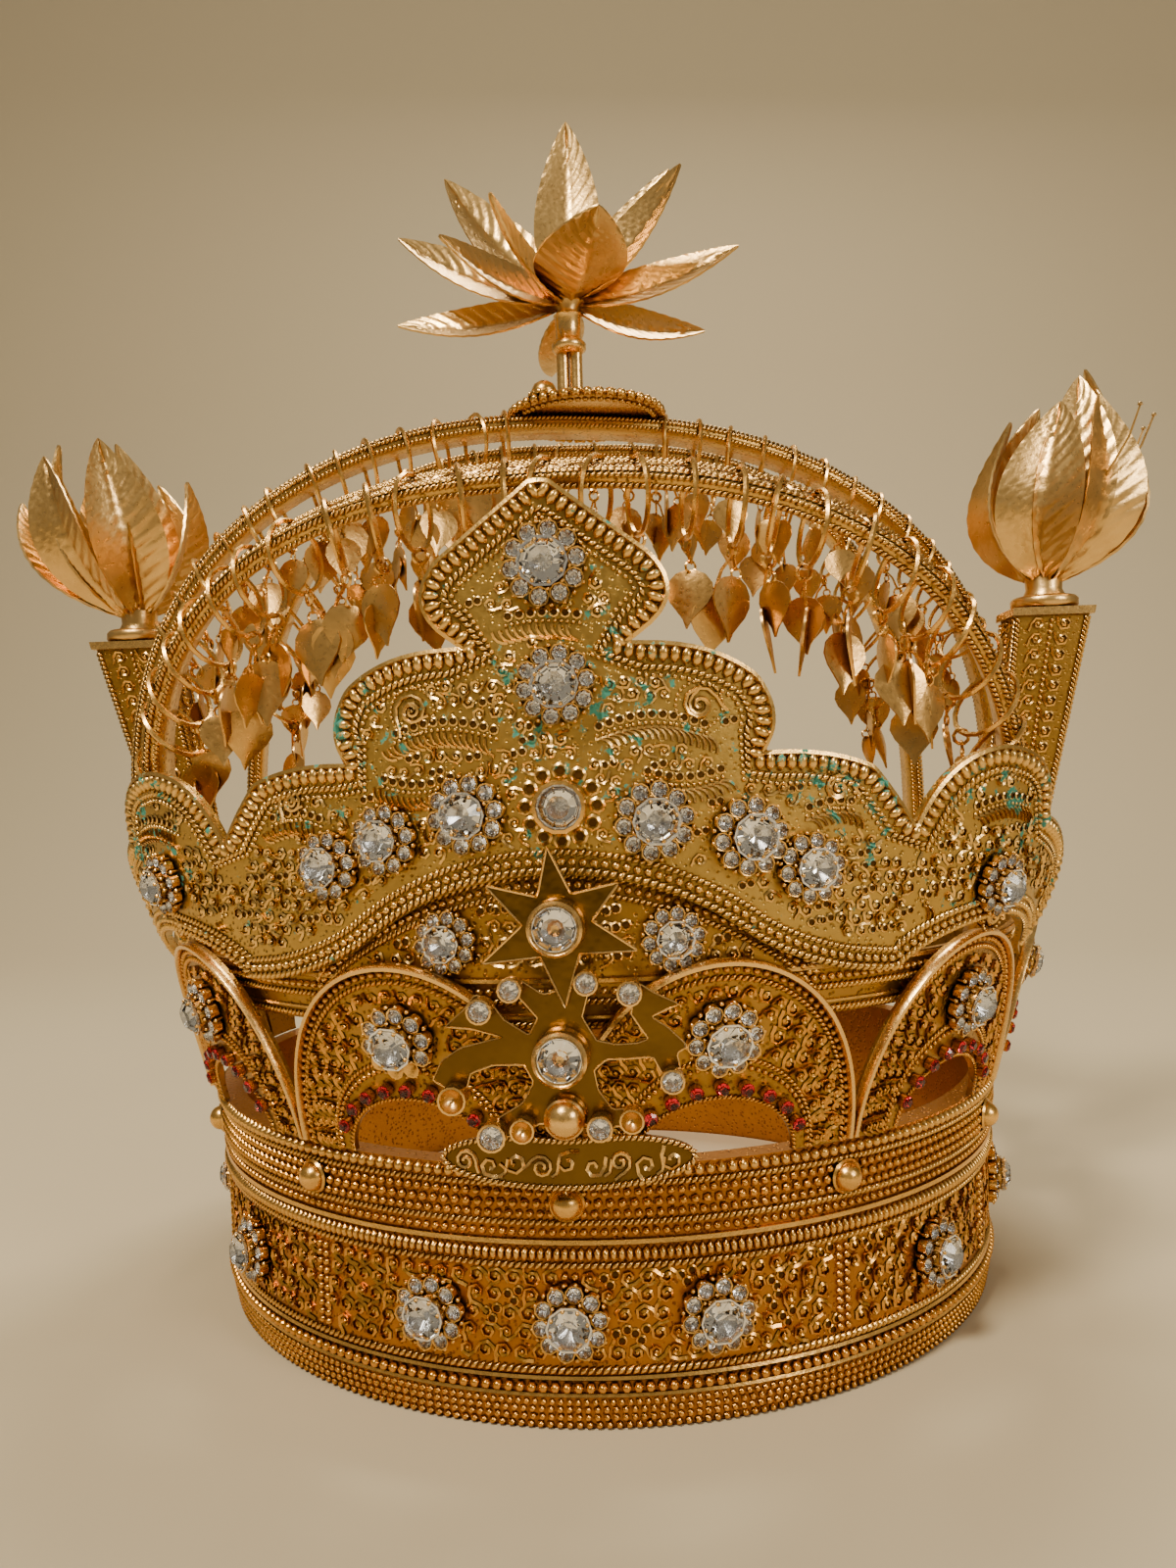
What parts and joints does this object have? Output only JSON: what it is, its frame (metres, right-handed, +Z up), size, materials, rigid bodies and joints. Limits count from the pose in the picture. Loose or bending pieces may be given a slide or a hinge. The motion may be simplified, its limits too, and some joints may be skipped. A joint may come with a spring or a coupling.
{
  "type": "ceremonial crown",
  "caption": "Gilt filigree ceremonial crown: headband, ring of lunettes, tall front plate, three arches with leaf drops, side horns with buds and a lotus finial.",
  "frame": {"origin": "the middle of the crown's underside: centre of the bounding box in X and Y, at the height of the headband's lower edge", "axes": "+Z up out of the crown, -Y out of the front with the tall plate, +X to the wearer's left"},
  "size_m": [0.295, 0.229, 0.3016],
  "materials": {
    "gold": "worn gilt filigree with dark hollows and some verdigris",
    "dark_gold": "dark olive gilt sheet, smooth and worn",
    "pale_gold": "bright gilt sheet with fine engraved ribs",
    "clear_stone": "cut clear glass stones",
    "red_stone": "deep red glass stones"
  },
  "bodies": {
    "root": {"headband": "gold", "lunette_01": "gold", "lunette_02": "gold", "lunette_03": "gold", "lunette_04": "gold", "lunette_05": "gold", "lunette_06": "gold", "lunette_07": "gold", "lunette_08": "gold", "lunette_09": "gold", "lunette_10": "gold", "lunette_11": "gold", "gallery": "gold", "front_plate": "gold", "front_arch": "gold", "middle_arch": "gold", "rear_arch": "gold", "hub_plate": "gold", "top_knob": "gold", "horn_left": "gold", "horn_right": "gold", "star": "dark_gold", "sun": "dark_gold", "inscribed_oval": "dark_gold", "finial_stem": "pale_gold", "lotus_finial": "pale_gold", "bud_left": "pale_gold", "bud_right": "pale_gold", "star_stone": "clear_stone", "sun_stone": "clear_stone"}
  },
  "joints": []
}
